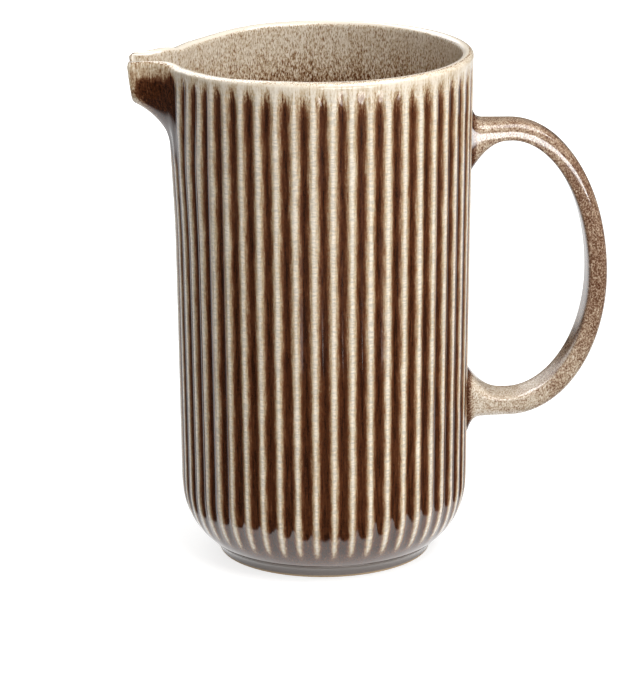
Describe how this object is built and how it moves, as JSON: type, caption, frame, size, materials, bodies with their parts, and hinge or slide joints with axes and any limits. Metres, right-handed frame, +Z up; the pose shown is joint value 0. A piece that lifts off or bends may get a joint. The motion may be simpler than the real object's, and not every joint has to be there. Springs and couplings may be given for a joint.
{
  "type": "jug",
  "caption": "Tall fluted stoneware jug with a plain rim, a short open trough spout, an ear-shaped strap handle and a low foot ring, in a brown glaze that breaks pale on the ridges.",
  "frame": {"origin": "on the ground plane under the middle of the jug's bounding box", "axes": "+Z up, +X towards the handle, -X towards the spout, XZ is the plane of symmetry"},
  "size_m": [0.1774, 0.1104, 0.19],
  "materials": {
    "fluted_glaze": "glossy brown glaze that breaks to cream on the ridges",
    "speckled_glaze": "glossy tan glaze with brown speckle",
    "luting_slip": "fired slip under the glaze",
    "bare_clay": "unglazed matt stoneware"
  },
  "bodies": {
    "root": {"body": "fluted_glaze", "foot_ring": "bare_clay", "spout": "speckled_glaze", "spout_slip": "luting_slip", "handle": "speckled_glaze", "handle_upper_slip": "luting_slip", "handle_lower_slip": "luting_slip"}
  },
  "joints": []
}
